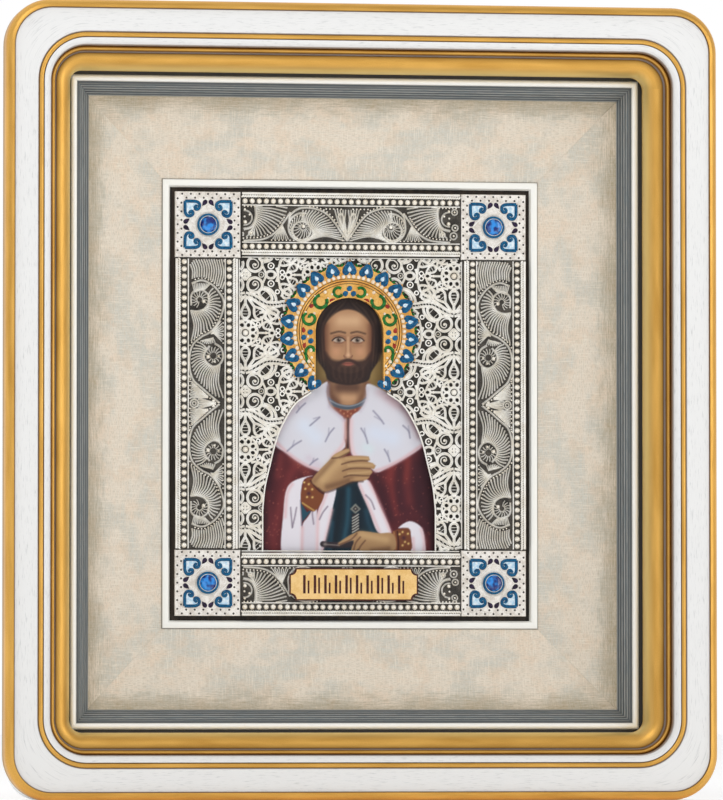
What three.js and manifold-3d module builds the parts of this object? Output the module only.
// Icon panel in a deep moulded case frame: a white case with gilt mouldings, a mitred liner,
// and a painted board behind a filigree cover with corner plates, borders, lattice and halo.
// Millimetres, +Z up. The front faces -Y, and the case stands on z = 0.

import * as THREE from "three";
import { mergeVertices } from "three/addons/utils/BufferGeometryUtils.js";
import Module from "manifold-3d";

const wasm = await Module();
wasm.setup();

// Gap between pieces that rest on each other
const REST_GAP = 0.3;

// Case frame, outside sizes
const CASE_WIDTH = 288;
const CASE_HEIGHT = 319;
const CASE_DEPTH = 50;
const CASE_CORNER_RADIUS = 18.4;
const CORNER_STEPS = 4;

// Case moulding, widths counted inwards from the outer edge
const EDGE_WIDTH = 3.5;
const FLAT_WIDTH = 9.6;
const BEAD_WIDTH = 2;
const NARROW_WIDTH = 3.2;
const STEP_WIDTH = 2.4;
const BAND_WIDTH = 6.4;
const BEAD_CORNER_RADIUS = 19.2;

// Case moulding, falls counted back from the crown
const EDGE_THICKNESS = 12.6;
const EDGE_ROUND_DEPTH = 4.2;
const FLAT_SET = 0.7;
const BEAD_RISE = 0.4;
const NARROW_FALL = 2.9;
const STEP_FALL = 5;
const SMALL_BEAD_RISE = 0.8;
const BAND_FALL = 6.4;
const LIP_THICKNESS = 5.5;

// Case moulding, curves as shares of the widths and falls above
const EDGE_ROUND_TURNS = [0, 0.33, 0.67, 1];
const EDGE_ROUND_SHARE = 0.92;
const BEAD_FLANK = 0.15;
const NARROW_TURNS = [0, 0.5, 1];
const SMALL_BEAD_DROP = 0.5;
const SMALL_BEAD_SHARE = 0.8;
const BAND_CURVE = [[0.35, 0.08], [0.7, 0.42]];

// Case box behind the moulding
const BOX_INSET = 6;
const LINER_OVERLAP = 7;
const POCKET_RADIUS = 1;
const BACK_REBATE = 5;
const BACK_PANEL_THICKNESS = 3;
const BACK_PANEL_SET = 0.5;

// Liner, widths counted inwards from the lip of the case
const LINER_CLEARANCE = 0.5;
const SIDE_FACE = 43.3;
const HEAD_FACE = 45;
const SILVER_START = 2.1;
const SILVER_WIDTH = 1.6;
const REED_WIDTH = 5.4;
const COVE_WIDTH = 5.4;
const SLIP_WIDTH = 3.2;
const BOARD_REBATE = 4;

// Liner, depths counted back from its hidden outer flange
const STEP_DEPTH = 2.1;
const SILVER_DEPTH = 1.1;
const REED_TOP_DEPTH = 2.3;
const REED_FOOT_DEPTH = 7.2;
const COVE_FOOT_DEPTH = 11.2;
const SLOPE_FOOT_DEPTH = 16.5;
const SLIP_DEPTH = 15.9;
const SIGHT_DEPTH = 17;
const SIGHT_EDGE = 1.2;
const FLANGE_EDGE = 1;
const FLANGE_FOOT = 0.6;
const COVE_HOLLOW = [0.4, 0.6];
const SLIP_FLAT = [0.2, 0.7];
const MITRE_GAP = 0.15;

// Cover and what it carries
const COVER_REVEAL = 1.9;
const COVER_THICKNESS = 1;
const STRIP_WIDTH = 25.5;
const STRIP_THICKNESS = 2.4;
const PLATE_OVERHANG = 1.1;
const PLATE_THICKNESS = 2.2;
const FIELD_THICKNESS = 1.2;
const SEAM = 0.3;

// Border strips, with the places of the spirals as shares of a strip's half length
const EDGE_WIRE = 2;
const PEARL_RADIUS = 1;
const PEARL_PITCH = 2.85;
const PEARL_INSET = 3.8;
const PEARL_SIDES = 3;
const SCROLL_RISE = 0.8;
const SCROLL_WIRE = 0.9;
const SPIRAL_RADIUS = 6.2;
const SPIRAL_TURNS = 1.6;
const SPIRAL_CLOSING = 0.8;
const SPIRAL_STEPS = 7;
const HEAD_SPIRALS = [-0.404, 0.404];
const SIDE_SPIRALS = [-0.71, -0.324, 0.324, 0.71];
const FAN_RIBS = 4;
const FAN_REACH = 6.4;
const FAN_SPREAD = 1.9;
const FAN_ROOT = 0.3;
const FAN_FOOT = 0.7;
const EDGE_MARGIN = 0.2;

// Corner plates and stones
const PLATE_WIRE = 1.6;
const PLATE_WIRE_RISE = 0.6;
const BEZEL_RADIUS = 4.5;
const BEZEL_RISE = 1.4;
const STONE_RADIUS = 3.3;
const STONE_RISE = 1.3;
const STONE_SIDES = 8;
const STONE_TABLE = [0.55, 0.9];
const PLATE_HEART_SIZE = 6.2;
const PLATE_HEART_REACH = 9.3;
const HEART_RISE = 0.5;
const HEART_TIP = 0.6;
const HEART_SIDE = [[0.1, 0.38], [-0.28, 0.42], [-0.45, 0.22]];
const HEART_NOTCH = -0.28;

// Lattice in half-drop columns: ogee waves that pinch at a diamond, with rosettes between them
const COLUMN_PITCH = 28.5;
const WAVE_PERIOD = 47.2;
const COLUMN_INSET = 2.9;
const ROSETTE_DROP = 31;
const LATTICE_WIRE = 1.3;
const LATTICE_EDGE = 1;
const ROSETTE_RADIUS = 4.6;
const ROSETTE_PETALS = 6;
const ROSETTE_BOSS = 1.4;
const SIDE_PETAL_REACH = 10.7;
const DIAMOND_SCROLLS = [3.8, 4.2];
const SCROLL_RADIUS = 3.3;
const SCROLL_SIDES = 6;

// Half a wave from a diamond to the next column's: shares of the pitch across, of the period up
const WAVE_SHAPE = [
  [0, 0],
  [0, 0.172],
  [0.225, 0.232],
  [0.5, 0.25],
  [0.775, 0.268],
  [1, 0.328],
];

// Figure opening: shares of the body's half width, at shares of its height below the head's middle
const FIGURE_X = -0.6;
const FIGURE_SIDE_ROOM = 10.9;
const SHOULDERS = [
  [0.434, 0.276],
  [0.62, 0.329],
  [0.763, 0.419],
  [0.849, 0.504],
  [0.911, 0.601],
  [0.971, 0.703],
  [1, 0.806],
];
const SHOULDER_STEPS = 10;
const SHEET_SET_BACK = 0.6;

// Halo, with its rings as shares of its reach
const HALO_TOP_ROOM = 1.7;
const HALO_SHARE = 0.82;
const OPENING_SHARE = 0.481;
const BODY_SHARE = 0.913;
const ROPE_SHARE = 0.714;
const PEARL_RING_SHARE = 0.78;
const HALO_THICKNESS = 1.8;
const HALO_SIDES = 24;
const ROPE_WIRE = 0.6;
const ROPE_RISE = 0.5;
const HALO_PEARL_WIDTH = 1.5;
const HALO_HEARTS = 22;
const HEART_SHARE = 0.174;

// Name plate
const NAME_WIDTH = 52.5;
const NAME_HEIGHT = 13.1;
const NAME_THICKNESS = 0.8;
const NAME_SCOOP = 2.4;
const NAME_X = 0.8;
const STROKE_COUNT = 10;
const STROKE_MARGIN = 6.9;
const STROKE_WIDTH = 1.1;
const STROKE_HEIGHTS = [7.4, 5.6, 7.4, 6.4];
const STROKE_DEPTH = 0.3;

// Places that follow from the sizes above
const LIP_INSET = EDGE_WIDTH + FLAT_WIDTH + BEAD_WIDTH + NARROW_WIDTH + STEP_WIDTH + BAND_WIDTH;
const LIP_DEPTH = FLAT_SET + NARROW_FALL + STEP_FALL + BAND_FALL;
const LIP_BACK = LIP_DEPTH + LIP_THICKNESS;
const LINER_TOP = LIP_BACK + REST_GAP;
const PANEL_FRONT = CASE_DEPTH - BACK_PANEL_SET - BACK_PANEL_THICKNESS;
const LINER_BACK = PANEL_FRONT - REST_GAP;
const SIGHT_BACK = LINER_TOP + SIGHT_DEPTH + SIGHT_EDGE;
const SIGHT_HALF_WIDTH = CASE_WIDTH / 2 - LIP_INSET - SIDE_FACE;
const SIGHT_HALF_HEIGHT = CASE_HEIGHT / 2 - LIP_INSET - HEAD_FACE;
const BOARD_FACE = SIGHT_BACK + REST_GAP;
const PLATE_SIZE = STRIP_WIDTH + PLATE_OVERHANG;
const COVER_HALF_WIDTH = SIGHT_HALF_WIDTH - COVER_REVEAL;
const COVER_HALF_HEIGHT = SIGHT_HALF_HEIGHT - COVER_REVEAL;
const COVER_BACK = BOARD_FACE - REST_GAP;
const COVER_FACE = COVER_BACK - COVER_THICKNESS;
const MOUNT_BACK = COVER_FACE - REST_GAP;
const STRIP_FACE = MOUNT_BACK - STRIP_THICKNESS;
const STRIP_CREST = STRIP_FACE - Math.max(PEARL_RADIUS, SCROLL_RISE);
const PLATE_FACE = MOUNT_BACK - PLATE_THICKNESS;
const FIELD_HALF_WIDTH = COVER_HALF_WIDTH - STRIP_WIDTH - SEAM;
const FIELD_HALF_HEIGHT = COVER_HALF_HEIGHT - STRIP_WIDTH - SEAM;
const FIELD_FACE = MOUNT_BACK - FIELD_THICKNESS;
const FIGURE_HALF_WIDTH = FIELD_HALF_WIDTH - FIGURE_SIDE_ROOM;
const HALO_REACH = FIGURE_HALF_WIDTH * HALO_SHARE;
const HALO_OPENING = HALO_REACH * OPENING_SHARE;
const HALO_Z = FIELD_HALF_HEIGHT - HALO_TOP_ROOM - HALO_REACH;
const FIGURE_HEIGHT = HALO_Z + FIELD_HALF_HEIGHT;

// Paints
const WHITE_PAINT = new THREE.MeshStandardMaterial({ color: 0xf0f0f0, roughness: 0.5, metalness: 0 });
const CREAM_PAINT = new THREE.MeshStandardMaterial({ color: 0xd6cdba, roughness: 0.6, metalness: 0 });
const PAINTED_BOARD = new THREE.MeshStandardMaterial({ color: 0x96805a, roughness: 0.4, metalness: 0 });
const BACK_BOARD = new THREE.MeshStandardMaterial({ color: 0x8a6a48, roughness: 0.8, metalness: 0 });
const DARK_SILVER = new THREE.MeshStandardMaterial({ color: 0x3c3830, roughness: 0.5, metalness: 0.9 });
const BRIGHT_SILVER = new THREE.MeshStandardMaterial({ color: 0xd8d2c6, roughness: 0.3, metalness: 0.9 });
const GILT_METAL = new THREE.MeshStandardMaterial({ color: 0xebb45a, roughness: 0.3, metalness: 0.9 });
const BLUE_STONE = new THREE.MeshStandardMaterial({ color: 0x1450c8, roughness: 0.1, metalness: 0 });

// A closed geometry as a solid that can be joined and cut.
function solidOf(geometry) {
  const bare = geometry.clone();
  bare.deleteAttribute("normal");
  bare.deleteAttribute("uv");
  const merged = mergeVertices(bare, 1e-4);
  return new wasm.Manifold(
    new wasm.Mesh({
      numProp: 3,
      vertProperties: merged.attributes.position.array,
      triVerts: new Uint32Array(merged.index.array),
    }),
  );
}

// A solid as a geometry for a mesh.
function geometryOf(solid) {
  const { vertProperties, triVerts } = solid.getMesh();
  const geometry = new THREE.BufferGeometry();
  geometry.setAttribute("position", new THREE.BufferAttribute(vertProperties, 3));
  geometry.setIndex(new THREE.BufferAttribute(triVerts, 1));
  geometry.computeVertexNormals();
  return geometry;
}

function join(solids) {
  return solids.reduce((whole, piece) => whole.add(piece));
}

function named(name, geometry, material) {
  const mesh = new THREE.Mesh(geometry, material);
  mesh.name = name;
  return mesh;
}

// The y of a depth counted back from the crown of the case.
function yAt(depth) {
  return depth - CASE_DEPTH / 2;
}

// A flat piece with an outline of [x, z] points, from its front depth to its back depth.
function slab(outline, front, back) {
  const shape = new THREE.Shape(outline.map(([x, z]) => new THREE.Vector2(x, z)));
  const geometry = new THREE.ExtrudeGeometry(shape, { depth: back - front, bevelEnabled: false });
  return geometry.rotateX(Math.PI / 2).translate(0, yAt(back), 0);
}

function rectangle(left, right, bottom, top) {
  return [[left, bottom], [right, bottom], [right, top], [left, top]];
}

function arc(x, z, radius, start, end, steps) {
  return Array.from({ length: steps + 1 }, (_, i) => {
    const angle = start + ((end - start) * i) / steps;
    return [x + radius * Math.cos(angle), z + radius * Math.sin(angle)];
  });
}

// The outline of a wire of constant width along a route of [x, z] points.
function wireOutline(route, width) {
  const left = [];
  const right = [];
  route.forEach(([x, z], i) => {
    const [ax, az] = route[Math.max(i - 1, 0)];
    const [bx, bz] = route[Math.min(i + 1, route.length - 1)];
    const length = Math.hypot(bx - ax, bz - az);
    const nx = ((az - bz) / length) * (width / 2);
    const nz = ((bx - ax) / length) * (width / 2);
    left.push([x + nx, z + nz]);
    right.unshift([x - nx, z - nz]);
  });
  return right.concat(left);
}

function wire(route, width, front, back) {
  return solidOf(slab(wireOutline(route, width), front, back));
}

// A round-backed granule whose widest circle lies at the given depth.
function granule(x, z, radius, depth, sides) {
  return solidOf(new THREE.SphereGeometry(radius, sides, 2).translate(x, yAt(depth), z));
}

// A heart with its tip pointing along the angle.
function heartOutline(x, z, size, angle) {
  const mirrored = HEART_SIDE.slice().reverse().map(([a, b]) => [a, -b]);
  return [[HEART_TIP, 0], ...HEART_SIDE, [HEART_NOTCH, 0], ...mirrored].map(([a, b]) => [
    x + size * (a * Math.cos(angle) - b * Math.sin(angle)),
    z + size * (a * Math.sin(angle) + b * Math.cos(angle)),
  ]);
}

// One ring of the case: a rounded rectangle at an inset from the outside of the case.
function caseRing({ inset, footInset = inset, radius, depth }) {
  const right = CASE_WIDTH / 2 - inset;
  const top = CASE_HEIGHT - inset;
  const corners = [
    [right - radius, top - radius, 0],
    [radius - right, top - radius, 1],
    [radius - right, footInset + radius, 2],
    [right - radius, footInset + radius, 3],
  ];
  return corners.flatMap(([x, z, quarter]) => {
    const start = (quarter * Math.PI) / 2;
    return arc(x, z, radius, start, start + Math.PI / 2, CORNER_STEPS)
      .map(([px, pz]) => new THREE.Vector3(px, yAt(depth), pz));
  });
}

// A closed loft through rings of equal counts, where the last ring meets the first.
function loft(rings) {
  const points = [];
  const face = (a, b, c) => {
    if (a.distanceTo(b) > 1e-6 && b.distanceTo(c) > 1e-6 && c.distanceTo(a) > 1e-6) points.push(a, b, c);
  };
  rings.forEach((ring, r) => {
    const next = rings[(r + 1) % rings.length];
    ring.forEach((a, i) => {
      const j = (i + 1) % ring.length;
      face(a, ring[j], next[j]);
      face(a, next[j], next[i]);
    });
  });
  return new THREE.BufferGeometry().setFromPoints(points);
}

function caseFrame() {
  const rings = [];
  const add = (inset, depth, radius, footInset) => rings.push({ inset, footInset, radius, depth });
  const outer = (inset) => CASE_CORNER_RADIUS - inset;
  const flatStart = EDGE_WIDTH;
  const beadStart = flatStart + FLAT_WIDTH;
  const narrowStart = beadStart + BEAD_WIDTH;
  const stepStart = narrowStart + NARROW_WIDTH;
  const bandStart = stepStart + STEP_WIDTH;
  const inner = (inset) => BEAD_CORNER_RADIUS - (inset - beadStart);

  // Gilt outer edge
  add(0, EDGE_THICKNESS, outer(0));
  for (const turn of EDGE_ROUND_TURNS) {
    const inset = EDGE_WIDTH * EDGE_ROUND_SHARE * (1 - Math.cos((turn * Math.PI) / 2));
    add(inset, EDGE_ROUND_DEPTH * (1 - Math.sin((turn * Math.PI) / 2)), outer(inset));
  }
  add(flatStart, FLAT_SET, outer(flatStart));

  // Thin bead past the wide flat
  const beadFlank = BEAD_WIDTH * BEAD_FLANK;
  const beadMiddle = beadStart + BEAD_WIDTH / 2;
  add(beadStart, FLAT_SET, inner(beadStart));
  add(beadStart + beadFlank, FLAT_SET + BEAD_RISE, inner(beadStart + beadFlank));
  add(beadMiddle, FLAT_SET - BEAD_RISE, inner(beadMiddle));
  add(narrowStart - beadFlank, FLAT_SET + BEAD_RISE, inner(narrowStart - beadFlank));

  // Narrow round that falls to the step
  for (const turn of NARROW_TURNS) {
    const inset = narrowStart + NARROW_WIDTH * Math.sin((turn * Math.PI) / 2);
    add(inset, FLAT_SET + NARROW_FALL * (1 - Math.cos((turn * Math.PI) / 2)), inner(inset));
  }

  // Step with its small bead
  const stepTop = FLAT_SET + NARROW_FALL;
  const smallBead = stepTop + STEP_FALL * SMALL_BEAD_DROP;
  const smallBeadWidth = STEP_WIDTH * SMALL_BEAD_SHARE;
  add(stepStart, smallBead, inner(stepStart));
  add(stepStart + smallBeadWidth / 2, smallBead - SMALL_BEAD_RISE, inner(stepStart + smallBeadWidth / 2));
  add(stepStart + smallBeadWidth, smallBead, inner(stepStart + smallBeadWidth));
  add(bandStart, stepTop + STEP_FALL, inner(bandStart));

  // Band that falls to the lip
  const bandTop = stepTop + STEP_FALL;
  for (const [across, down] of BAND_CURVE) {
    const inset = bandStart + BAND_WIDTH * across;
    add(inset, bandTop + BAND_FALL * down, inner(inset));
  }
  add(LIP_INSET, LIP_DEPTH, inner(LIP_INSET));
  add(LIP_INSET, LIP_BACK, inner(LIP_INSET));

  // Inside of the box and its back rebate
  const linerPocket = LIP_INSET - LINER_OVERLAP;
  const panelPocket = linerPocket - BACK_REBATE;
  add(linerPocket, LIP_BACK, POCKET_RADIUS);
  add(linerPocket, PANEL_FRONT, POCKET_RADIUS);
  add(panelPocket, PANEL_FRONT, POCKET_RADIUS);
  add(panelPocket, CASE_DEPTH, POCKET_RADIUS);

  // Outside of the box, flush with the moulding underneath
  add(BOX_INSET, CASE_DEPTH, outer(BOX_INSET), 0);
  add(BOX_INSET, EDGE_THICKNESS, outer(BOX_INSET), 0);
  return named("case_frame", loft(rings.map(caseRing)), WHITE_PAINT);
}

function backPanel() {
  const inset = LIP_INSET - LINER_OVERLAP - BACK_REBATE + LINER_CLEARANCE;
  const half = CASE_WIDTH / 2 - inset;
  const outline = rectangle(-half, half, inset, CASE_HEIGHT - inset);
  return named("back_panel", slab(outline, PANEL_FRONT, CASE_DEPTH - BACK_PANEL_SET), BACK_BOARD);
}

// The liner's section as [width inwards from the lip, depth] points, for a rail of the given face.
function linerSection(face) {
  const outside = LINER_CLEARANCE - LINER_OVERLAP;
  const reedStart = SILVER_START + SILVER_WIDTH;
  const coveStart = reedStart + REED_WIDTH;
  const slipStart = face - SLIP_WIDTH;
  const [hollowAcross, hollowDown] = COVE_HOLLOW;
  const coveFall = COVE_FOOT_DEPTH - REED_FOOT_DEPTH;
  const [slipFrom, slipTo] = SLIP_FLAT;
  const points = [
    [outside, 0],
    [-FLANGE_EDGE, 0],
    [-FLANGE_FOOT, STEP_DEPTH],
    [SILVER_START, STEP_DEPTH],
    [SILVER_START + SILVER_WIDTH / 2, SILVER_DEPTH],
    [reedStart, REED_TOP_DEPTH],
    [coveStart, REED_FOOT_DEPTH],
    [coveStart + COVE_WIDTH * hollowAcross, REED_FOOT_DEPTH + coveFall * hollowDown],
    [coveStart + COVE_WIDTH, COVE_FOOT_DEPTH],
    [slipStart, SLOPE_FOOT_DEPTH],
    [slipStart + SLIP_WIDTH * slipFrom, SLIP_DEPTH],
    [slipStart + SLIP_WIDTH * slipTo, SLIP_DEPTH],
    [face, SIGHT_DEPTH],
    [face, SIGHT_DEPTH + SIGHT_EDGE],
    [face - BOARD_REBATE, SIGHT_DEPTH + SIGHT_EDGE],
    [face - BOARD_REBATE, LINER_BACK - LINER_TOP],
    [outside, LINER_BACK - LINER_TOP],
  ];
  return points.map(([width, depth]) => [width, depth + LINER_TOP]);
}

// A mitred rail: its section is swept between two mitre lines that run from lip corner to sight corner.
function linerRail(name, lipHalfSpan, lipHalfRise, face, endFace, turn) {
  const section = linerSection(face);
  const ends = [-1, 1].map((side) => section.map(([width, depth]) => new THREE.Vector3(
    side * (lipHalfSpan - (width * endFace) / face - MITRE_GAP), yAt(depth), lipHalfRise - width,
  )));
  const [left, right] = ends;
  const caps = THREE.ShapeUtils.triangulateShape(section.map(([w, d]) => new THREE.Vector2(w, d)), []);
  const points = [];
  for (const [a, b, c] of caps) points.push(left[a], left[c], left[b], right[a], right[b], right[c]);
  section.forEach((_, i) => {
    const j = (i + 1) % section.length;
    points.push(left[i], left[j], right[j], left[i], right[j], right[i]);
  });
  const rail = named(name, new THREE.BufferGeometry().setFromPoints(points), CREAM_PAINT);
  rail.rotation.y = turn;
  return rail;
}

function liner() {
  const halfWidth = CASE_WIDTH / 2 - LIP_INSET;
  const halfHeight = CASE_HEIGHT / 2 - LIP_INSET;
  return [
    linerRail("liner_rail_top", halfWidth, halfHeight, HEAD_FACE, SIDE_FACE, 0),
    linerRail("liner_rail_bottom", halfWidth, halfHeight, HEAD_FACE, SIDE_FACE, Math.PI),
    linerRail("liner_rail_right", halfHeight, halfWidth, SIDE_FACE, HEAD_FACE, Math.PI / 2),
    linerRail("liner_rail_left", halfHeight, halfWidth, SIDE_FACE, HEAD_FACE, -Math.PI / 2),
  ];
}

function iconBoard() {
  const halfWidth = SIGHT_HALF_WIDTH + BOARD_REBATE - LINER_CLEARANCE;
  const halfHeight = SIGHT_HALF_HEIGHT + BOARD_REBATE - LINER_CLEARANCE;
  const outline = rectangle(-halfWidth, halfWidth, -halfHeight, halfHeight);
  return named("icon_board", slab(outline, BOARD_FACE, LINER_BACK), PAINTED_BOARD);
}

// The opening for the figure: a round head opening over straight sides and sloping shoulders.
function figureOpening(margin) {
  const radius = HALO_OPENING + margin;
  const curve = new THREE.SplineCurve(SHOULDERS.map(([across, down]) => new THREE.Vector2(
    across * FIGURE_HALF_WIDTH + margin, HALO_Z - down * FIGURE_HEIGHT + margin,
  )));
  const slope = curve.getPoints(SHOULDER_STEPS).map((point) => [point.x, point.y]).reverse();
  const [lowHalf] = slope[0];
  const [, neckTop] = slope[slope.length - 1];
  const foot = -FIELD_HALF_HEIGHT - SEAM / 2;
  const side = [[lowHalf, foot], ...slope, [radius, neckTop + 2]];
  const mirrored = side.slice().reverse().map(([half, z]) => [FIGURE_X - half, z]);
  const head = arc(FIGURE_X, HALO_Z, radius, 0, Math.PI, HALO_SIDES / 2);
  return side.map(([half, z]) => [FIGURE_X + half, z]).concat(head, mirrored);
}

function figureCut(margin) {
  return solidOf(slab(figureOpening(margin), LINER_TOP, LINER_BACK));
}

function coverSheet() {
  const outline = rectangle(-COVER_HALF_WIDTH, COVER_HALF_WIDTH, -COVER_HALF_HEIGHT, COVER_HALF_HEIGHT);
  const sheet = solidOf(slab(outline, COVER_FACE, COVER_BACK)).subtract(figureCut(SHEET_SET_BACK));
  return named("cover_sheet", geometryOf(sheet), DARK_SILVER);
}

// A spiral route that winds in from its outer radius.
function spiralRoute(x, z, hand) {
  return Array.from({ length: SPIRAL_STEPS + 1 }, (_, i) => {
    const share = i / SPIRAL_STEPS;
    const angle = hand * (Math.PI / 2 - SPIRAL_TURNS * 2 * Math.PI * share);
    const radius = SPIRAL_RADIUS * (1 - SPIRAL_CLOSING * share);
    return [x + hand * radius * Math.cos(angle), z + radius * Math.sin(angle)];
  });
}

// Straight ribs that spread from a foot on the band's edge.
function fanRoutes(x, z, aim) {
  return Array.from({ length: FAN_RIBS }, (_, i) => {
    const angle = aim + FAN_SPREAD * (i / (FAN_RIBS - 1) - 0.5);
    const reach = [Math.cos(angle) * FAN_REACH, Math.sin(angle) * FAN_REACH];
    return [[x + reach[0] * FAN_ROOT, z + reach[1] * FAN_ROOT], [x + reach[0], z + reach[1]]];
  });
}

// A border strip along X: plate, edge wires, pearl rows, spirals and a fan between each two of them.
function borderStrip(name, length, stations) {
  const half = length / 2;
  const rise = STRIP_WIDTH / 2;
  const sunk = (STRIP_FACE + MOUNT_BACK) / 2;
  const pieces = [solidOf(slab(rectangle(-half, half, -rise, rise), STRIP_FACE, MOUNT_BACK))];
  for (const side of [-1, 1]) {
    const edge = side * (rise - EDGE_WIRE / 2 - EDGE_MARGIN);
    const bar = [[EDGE_MARGIN - half, edge], [half - EDGE_MARGIN, edge]];
    pieces.push(wire(bar, EDGE_WIRE, STRIP_FACE - SCROLL_RISE, sunk));
    const count = Math.floor((length - PEARL_PITCH) / PEARL_PITCH);
    const row = side * (rise - PEARL_INSET - PEARL_RADIUS / 2);
    for (let i = 0; i < count; i += 1) {
      pieces.push(granule((i - (count - 1) / 2) * PEARL_PITCH, row, PEARL_RADIUS, STRIP_FACE, PEARL_SIDES));
    }
  }
  const spirals = stations.map((share) => share * half);
  spirals.forEach((x) => {
    pieces.push(wire(spiralRoute(x, 0, Math.sign(x)), SCROLL_WIRE, STRIP_FACE - SCROLL_RISE, sunk));
  });
  const fans = spirals.slice(1).map((x, i) => (x + spirals[i]) / 2);
  fans.forEach((x, i) => {
    const aim = i % 2 === 0 ? Math.PI / 2 : -Math.PI / 2;
    fanRoutes(x, -Math.sign(aim) * FAN_REACH * FAN_FOOT, aim).forEach((route) => {
      pieces.push(wire(route, SCROLL_WIRE, STRIP_FACE - SCROLL_RISE, sunk));
    });
  });
  return named(name, geometryOf(join(pieces)), BRIGHT_SILVER);
}

function borders() {
  const headLength = 2 * (COVER_HALF_WIDTH - PLATE_SIZE - SEAM);
  const sideLength = 2 * (COVER_HALF_HEIGHT - PLATE_SIZE - SEAM);
  const across = COVER_HALF_WIDTH - STRIP_WIDTH / 2;
  const up = COVER_HALF_HEIGHT - STRIP_WIDTH / 2;
  const top = borderStrip("border_top", headLength, HEAD_SPIRALS);
  top.position.z = up;
  const bottom = borderStrip("border_bottom", headLength, HEAD_SPIRALS);
  bottom.position.z = -up;
  const left = borderStrip("border_left", sideLength, SIDE_SPIRALS);
  left.rotation.y = Math.PI / 2;
  left.position.x = -across;
  const right = borderStrip("border_right", sideLength, SIDE_SPIRALS);
  right.rotation.y = Math.PI / 2;
  right.position.x = across;
  return [top, bottom, left, right];
}

function cornerPlate(name) {
  const half = PLATE_SIZE / 2;
  const sunk = (PLATE_FACE + MOUNT_BACK) / 2;
  const base = solidOf(slab(rectangle(-half, half, -half, half), PLATE_FACE, MOUNT_BACK));
  const pieces = [base];
  const line = half - PLATE_WIRE / 2 - EDGE_MARGIN;
  const corners = [[-line, -line], [line, -line], [line, line], [-line, line], [-line, -line]];
  corners.slice(1).forEach((end, i) => {
    const [x, z] = corners[i];
    const stretch = PLATE_WIRE / 2 / (2 * line);
    const route = [
      [x - (end[0] - x) * stretch, z - (end[1] - z) * stretch],
      [end[0] + (end[0] - x) * stretch, end[1] + (end[1] - z) * stretch],
    ];
    pieces.push(wire(route, PLATE_WIRE, PLATE_FACE - PLATE_WIRE_RISE, sunk));
  });
  for (let quarter = 0; quarter < 4; quarter += 1) {
    const angle = Math.PI / 4 + (quarter * Math.PI) / 2;
    const x = PLATE_HEART_REACH * Math.cos(angle);
    const z = PLATE_HEART_REACH * Math.sin(angle);
    pieces.push(solidOf(slab(heartOutline(x, z, PLATE_HEART_SIZE, angle), PLATE_FACE - HEART_RISE, sunk)));
  }
  const bezel = arc(0, 0, BEZEL_RADIUS, 0, 2 * Math.PI, STONE_SIDES).slice(1);
  pieces.push(solidOf(slab(bezel, PLATE_FACE - BEZEL_RISE, sunk)));
  const seat = arc(0, 0, STONE_RADIUS + REST_GAP, 0, 2 * Math.PI, STONE_SIDES).slice(1);
  const cup = solidOf(slab(seat, PLATE_FACE - BEZEL_RISE - 1, PLATE_FACE));
  return named(name, geometryOf(join(pieces).subtract(cup)), BRIGHT_SILVER);
}

function cornerStone(name) {
  const back = PLATE_FACE - REST_GAP;
  const girdle = PLATE_FACE - BEZEL_RISE;
  const [tableShare, crownShare] = STONE_TABLE;
  const profile = [
    [0, girdle - STONE_RISE],
    [STONE_RADIUS * tableShare, girdle - STONE_RISE * crownShare],
    [STONE_RADIUS, girdle],
    [STONE_RADIUS, back],
    [0, back],
  ].map(([radius, depth]) => new THREE.Vector2(radius, yAt(depth)));
  return named(name, new THREE.LatheGeometry(profile, STONE_SIDES, Math.PI / 2), BLUE_STONE);
}

function corners() {
  const across = COVER_HALF_WIDTH - PLATE_SIZE / 2;
  const up = COVER_HALF_HEIGHT - PLATE_SIZE / 2;
  return [["top_left", -1, 1], ["top_right", 1, 1], ["bottom_left", -1, -1], ["bottom_right", 1, -1]]
    .map(([place, x, z]) => {
      const corner = new THREE.Group();
      corner.add(cornerPlate(`corner_plate_${place}`), cornerStone(`corner_stone_${place}`));
      corner.position.set(x * across, 0, z * up);
      return corner;
    });
}

// The heights of the rosettes of a column. Every second column is dropped by half a period.
function rosetteHeights(column) {
  const start = FIELD_HALF_HEIGHT - ROSETTE_DROP + (column % 2 === 0 ? 0 : WAVE_PERIOD / 2);
  const heights = [];
  for (let z = start - 3 * WAVE_PERIOD; z < FIELD_HALF_HEIGHT; z += WAVE_PERIOD) {
    if (z > -FIELD_HALF_HEIGHT) heights.push(z);
  }
  return heights;
}

// The field's outline, notched where the corner plates reach past the strips.
function fieldOutline(inset) {
  const right = FIELD_HALF_WIDTH - inset;
  const top = FIELD_HALF_HEIGHT - inset;
  const notch = [[right, top - PLATE_OVERHANG], [right - PLATE_OVERHANG, top - PLATE_OVERHANG],
    [right - PLATE_OVERHANG, top]];
  const flip = (points, x, z) => points.map(([a, b]) => [x * a, z * b]);
  return [
    ...notch,
    ...flip(notch, -1, 1).reverse(),
    ...flip(notch, -1, -1),
    ...flip(notch, 1, -1).reverse(),
  ];
}

// The wave between a column at x and the next one, which has a rosette at each of the heights.
function waveRoute(x, heights) {
  const back = WAVE_SHAPE.map(([across, up]) => [1 - across, 0.5 + up]);
  const wave = [...WAVE_SHAPE, ...back];
  return heights.flatMap((z) => wave.map(([across, up]) => [
    x + across * COLUMN_PITCH, z + up * WAVE_PERIOD,
  ]));
}

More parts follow.
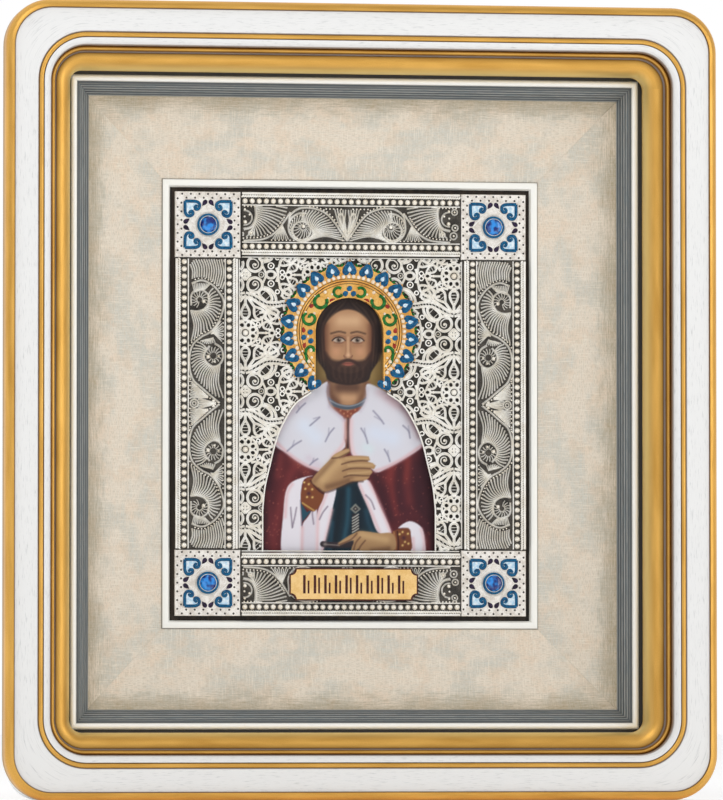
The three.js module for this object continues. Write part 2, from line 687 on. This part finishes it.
// A rosette with its petals, of which the upright ones reach the pinches above and below.
function rosette(x, z) {
  const bar = (to) => wire([[x, z], to], LATTICE_WIRE, FIELD_FACE, MOUNT_BACK);
  const disc = arc(x, z, ROSETTE_RADIUS, 0, 2 * Math.PI, ROSETTE_PETALS).slice(1);
  const reach = WAVE_PERIOD / 2;
  return [
    solidOf(slab(disc, FIELD_FACE, MOUNT_BACK)),
    granule(x, z, ROSETTE_BOSS, FIELD_FACE, PEARL_SIDES),
    ...[-1, 1].flatMap((side) => [bar([x, z + side * reach]), bar([x + side * SIDE_PETAL_REACH, z])]),
  ];
}

// The four scroll rings around a diamond.
function diamondScrolls(x, z) {
  const [across, up] = DIAMOND_SCROLLS;
  return [[1, 1], [-1, 1], [-1, -1], [1, -1]].map(([sideX, sideZ]) => {
    const [middleX, middleZ] = [x + sideX * across, z + sideZ * up];
    const ring = (radius) => arc(middleX, middleZ, radius, 0, 2 * Math.PI, SCROLL_SIDES).slice(1);
    const hole = solidOf(slab(ring(SCROLL_RADIUS - LATTICE_WIRE), FIELD_FACE - 1, MOUNT_BACK + 1));
    return solidOf(slab(ring(SCROLL_RADIUS), FIELD_FACE, MOUNT_BACK)).subtract(hole);
  });
}

function filigreeField() {
  const frame = fieldOutline(0);
  const window = fieldOutline(LATTICE_EDGE);
  const whole = solidOf(slab(frame, FIELD_FACE, MOUNT_BACK));
  const edge = whole.subtract(solidOf(slab(window, FIELD_FACE - 1, MOUNT_BACK + 1)));
  const columns = Math.ceil((2 * FIELD_HALF_WIDTH) / COLUMN_PITCH) + 1;
  const pieces = [edge];
  for (let column = 0; column < columns; column += 1) {
    const x = COLUMN_INSET - FIELD_HALF_WIDTH + column * COLUMN_PITCH;
    const diamonds = rosetteHeights(column).map((z) => z - WAVE_PERIOD / 2);
    pieces.push(wire(waveRoute(x, diamonds), LATTICE_WIRE, FIELD_FACE, MOUNT_BACK));
    rosetteHeights(column).forEach((z) => pieces.push(...rosette(x, z)));
    diamonds.forEach((z) => pieces.push(...diamondScrolls(x, z)));
  }
  const haloRoom = arc(FIGURE_X, HALO_Z, HALO_REACH + SEAM, 0, 2 * Math.PI, HALO_SIDES).slice(1);
  const lattice = join(pieces)
    .intersect(solidOf(slab(frame, LINER_TOP, MOUNT_BACK)))
    .subtract(solidOf(slab(haloRoom, LINER_TOP, LINER_BACK)))
    .subtract(figureCut(0));
  const [largest] = lattice.decompose().sort((a, b) => b.volume() - a.volume());
  return named("filigree_field", geometryOf(largest), BRIGHT_SILVER);
}

function halo() {
  const face = MOUNT_BACK - HALO_THICKNESS;
  const sunk = (face + MOUNT_BACK) / 2;
  const circle = (radius) => arc(FIGURE_X, HALO_Z, radius, 0, 2 * Math.PI, HALO_SIDES).slice(1);
  const disc = (radius, front, back) => solidOf(slab(circle(radius), front, back));
  const band = (radius, width, rise) => disc(radius + width / 2, face - rise, sunk)
    .subtract(disc(radius - width / 2, face - 2 * rise, MOUNT_BACK));
  const pieces = [
    disc(HALO_REACH * BODY_SHARE, face, MOUNT_BACK),
    band(HALO_REACH * ROPE_SHARE, ROPE_WIRE, ROPE_RISE),
    band(HALO_REACH * PEARL_RING_SHARE, HALO_PEARL_WIDTH, HALO_PEARL_WIDTH / 2),
  ];
  const heartSize = HALO_REACH * HEART_SHARE;
  const heartReach = HALO_REACH - heartSize * HEART_TIP;
  for (let i = 0; i < HALO_HEARTS; i += 1) {
    const angle = Math.PI / 2 + (i * 2 * Math.PI) / HALO_HEARTS;
    const x = FIGURE_X + heartReach * Math.cos(angle);
    const z = HALO_Z + heartReach * Math.sin(angle);
    pieces.push(solidOf(slab(heartOutline(x, z, heartSize, angle), face - HEART_RISE, MOUNT_BACK)));
  }
  const [ring] = join(pieces).subtract(figureCut(0)).decompose().sort((a, b) => b.volume() - a.volume());
  return named("halo", geometryOf(ring), GILT_METAL);
}

// A plate with scooped corners and one row of shallow upright strokes.
function namePlate() {
  const back = STRIP_CREST - REST_GAP;
  const front = back - NAME_THICKNESS;
  const halfWidth = NAME_WIDTH / 2;
  const halfHeight = NAME_HEIGHT / 2;
  const scoops = [[1, 1, 2], [-1, 1, 3], [-1, -1, 0], [1, -1, 1]];
  const outline = scoops.flatMap(([x, z, quarter]) => {
    const start = ((quarter + 1) * Math.PI) / 2;
    return arc(x * halfWidth, z * halfHeight, NAME_SCOOP, start, start - Math.PI / 2, 3);
  });
  let plate = solidOf(slab(outline, front, back));
  const strokePitch = (NAME_WIDTH - 2 * STROKE_MARGIN) / (STROKE_COUNT - 1);
  for (let i = 0; i < STROKE_COUNT; i += 1) {
    const x = (i - (STROKE_COUNT - 1) / 2) * strokePitch;
    const half = STROKE_HEIGHTS[i % STROKE_HEIGHTS.length] / 2;
    const stroke = rectangle(x - STROKE_WIDTH / 2, x + STROKE_WIDTH / 2, -half, half);
    plate = plate.subtract(solidOf(slab(stroke, front - 1, front + STROKE_DEPTH)));
  }
  const mesh = named("name_plate", geometryOf(plate), GILT_METAL);
  mesh.position.set(NAME_X, 0, STRIP_WIDTH / 2 - COVER_HALF_HEIGHT);
  return mesh;
}

const icon = new THREE.Group();
icon.add(...liner(), iconBoard(), coverSheet());
icon.add(...borders(), ...corners(), filigreeField(), halo(), namePlate());
icon.position.z = CASE_HEIGHT / 2;

const panel = new THREE.Group();
panel.add(caseFrame(), backPanel(), icon);

export default panel;
